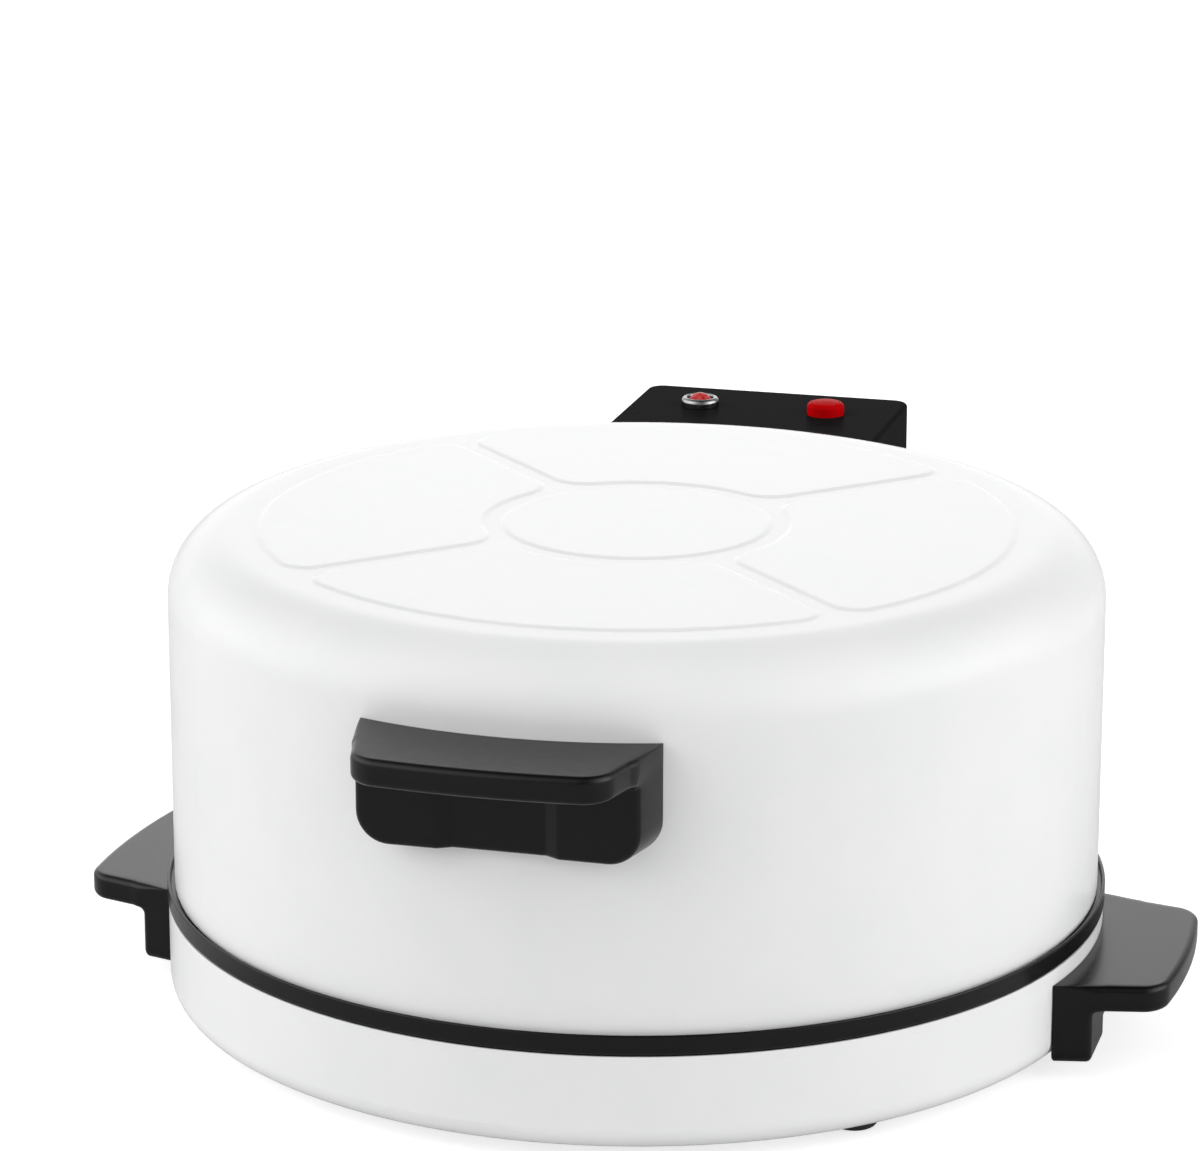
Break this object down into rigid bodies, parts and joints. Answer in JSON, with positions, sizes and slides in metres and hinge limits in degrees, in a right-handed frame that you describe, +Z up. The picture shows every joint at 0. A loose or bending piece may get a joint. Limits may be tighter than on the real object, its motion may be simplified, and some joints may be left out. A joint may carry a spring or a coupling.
{
  "type": "electric pizza oven",
  "caption": "Round countertop electric pizza oven: white base with a heated baking plate, deep white lid hinged at the back, black handles and a rear control housing.",
  "frame": {"origin": "on the table, under the middle of the oven's whole width and depth; the round body's axis is 13 mm in front of it", "axes": "+Z up, -Y towards the front handle, +X to the right for someone who faces the front"},
  "size_m": [0.5099, 0.536, 0.2228],
  "materials": {
    "white_enamel": "satin white powder coat",
    "black_phenolic": "fine matt moulded phenolic",
    "black_gloss": "smooth moulded phenolic",
    "plate_coating": "dark non-stick coating on cast aluminium",
    "bright_sheet": "bright aluminised sheet",
    "element_sheath": "dull oxidised sheath",
    "zinc_steel": "zinc plated",
    "ceramic": "unglazed steatite",
    "rubber": "matt",
    "chrome": "polished",
    "red_lens": "clear red moulded lens",
    "pale_plastic": "moulded",
    "switch_plastic": "moulded",
    "red_plastic": "glossy moulded"
  },
  "bodies": {
    "base": {"base_shell": "white_enamel", "rim_ring": "black_phenolic", "baking_plate": "plate_coating", "lower_reflector": "bright_sheet", "lower_element": "element_sheath", "lower_clips": "zinc_steel", "pan_spacers": "zinc_steel", "pan_screws": "zinc_steel", "thermal_cutout": "ceramic", "terminal_block": "ceramic", "rubber_feet": "rubber", "foot_screws": "zinc_steel", "left_side_handle": "black_phenolic", "right_side_handle": "black_phenolic", "side_handle_screws": "zinc_steel", "hinge_bracket": "black_phenolic", "bracket_screws": "zinc_steel", "hinge_pin": "zinc_steel", "pin_clip": "zinc_steel", "cord_gland": "black_phenolic"},
    "lid": {"lid_shell": "white_enamel", "front_handle": "black_phenolic", "control_housing": "black_gloss", "back_cover": "black_gloss", "lid_liner": "bright_sheet", "upper_element": "element_sheath", "upper_clips": "zinc_steel", "front_handle_screws": "zinc_steel", "housing_screws": "zinc_steel", "cover_screws": "zinc_steel", "lamp_nut": "zinc_steel", "thermostat": "ceramic", "lamp_bezel": "chrome", "lamp_lens": "red_lens", "lamp_body": "pale_plastic", "switch_body": "switch_plastic"},
    "power_button": {"power_button": "red_plastic"}
  },
  "joints": [
    {"name": "lid_hinge", "type": "hinge", "parent": "base", "child": "lid", "pos_m": [0, 0.219, 0.0495], "axis": [-1, 0, 0], "range_deg": [0, 90]},
    {"name": "button_press", "type": "slide", "parent": "lid", "child": "power_button", "axis": [0, 0, -1], "range_m": [0, 0.003], "stiffness_N_per_m": 600}
  ]
}
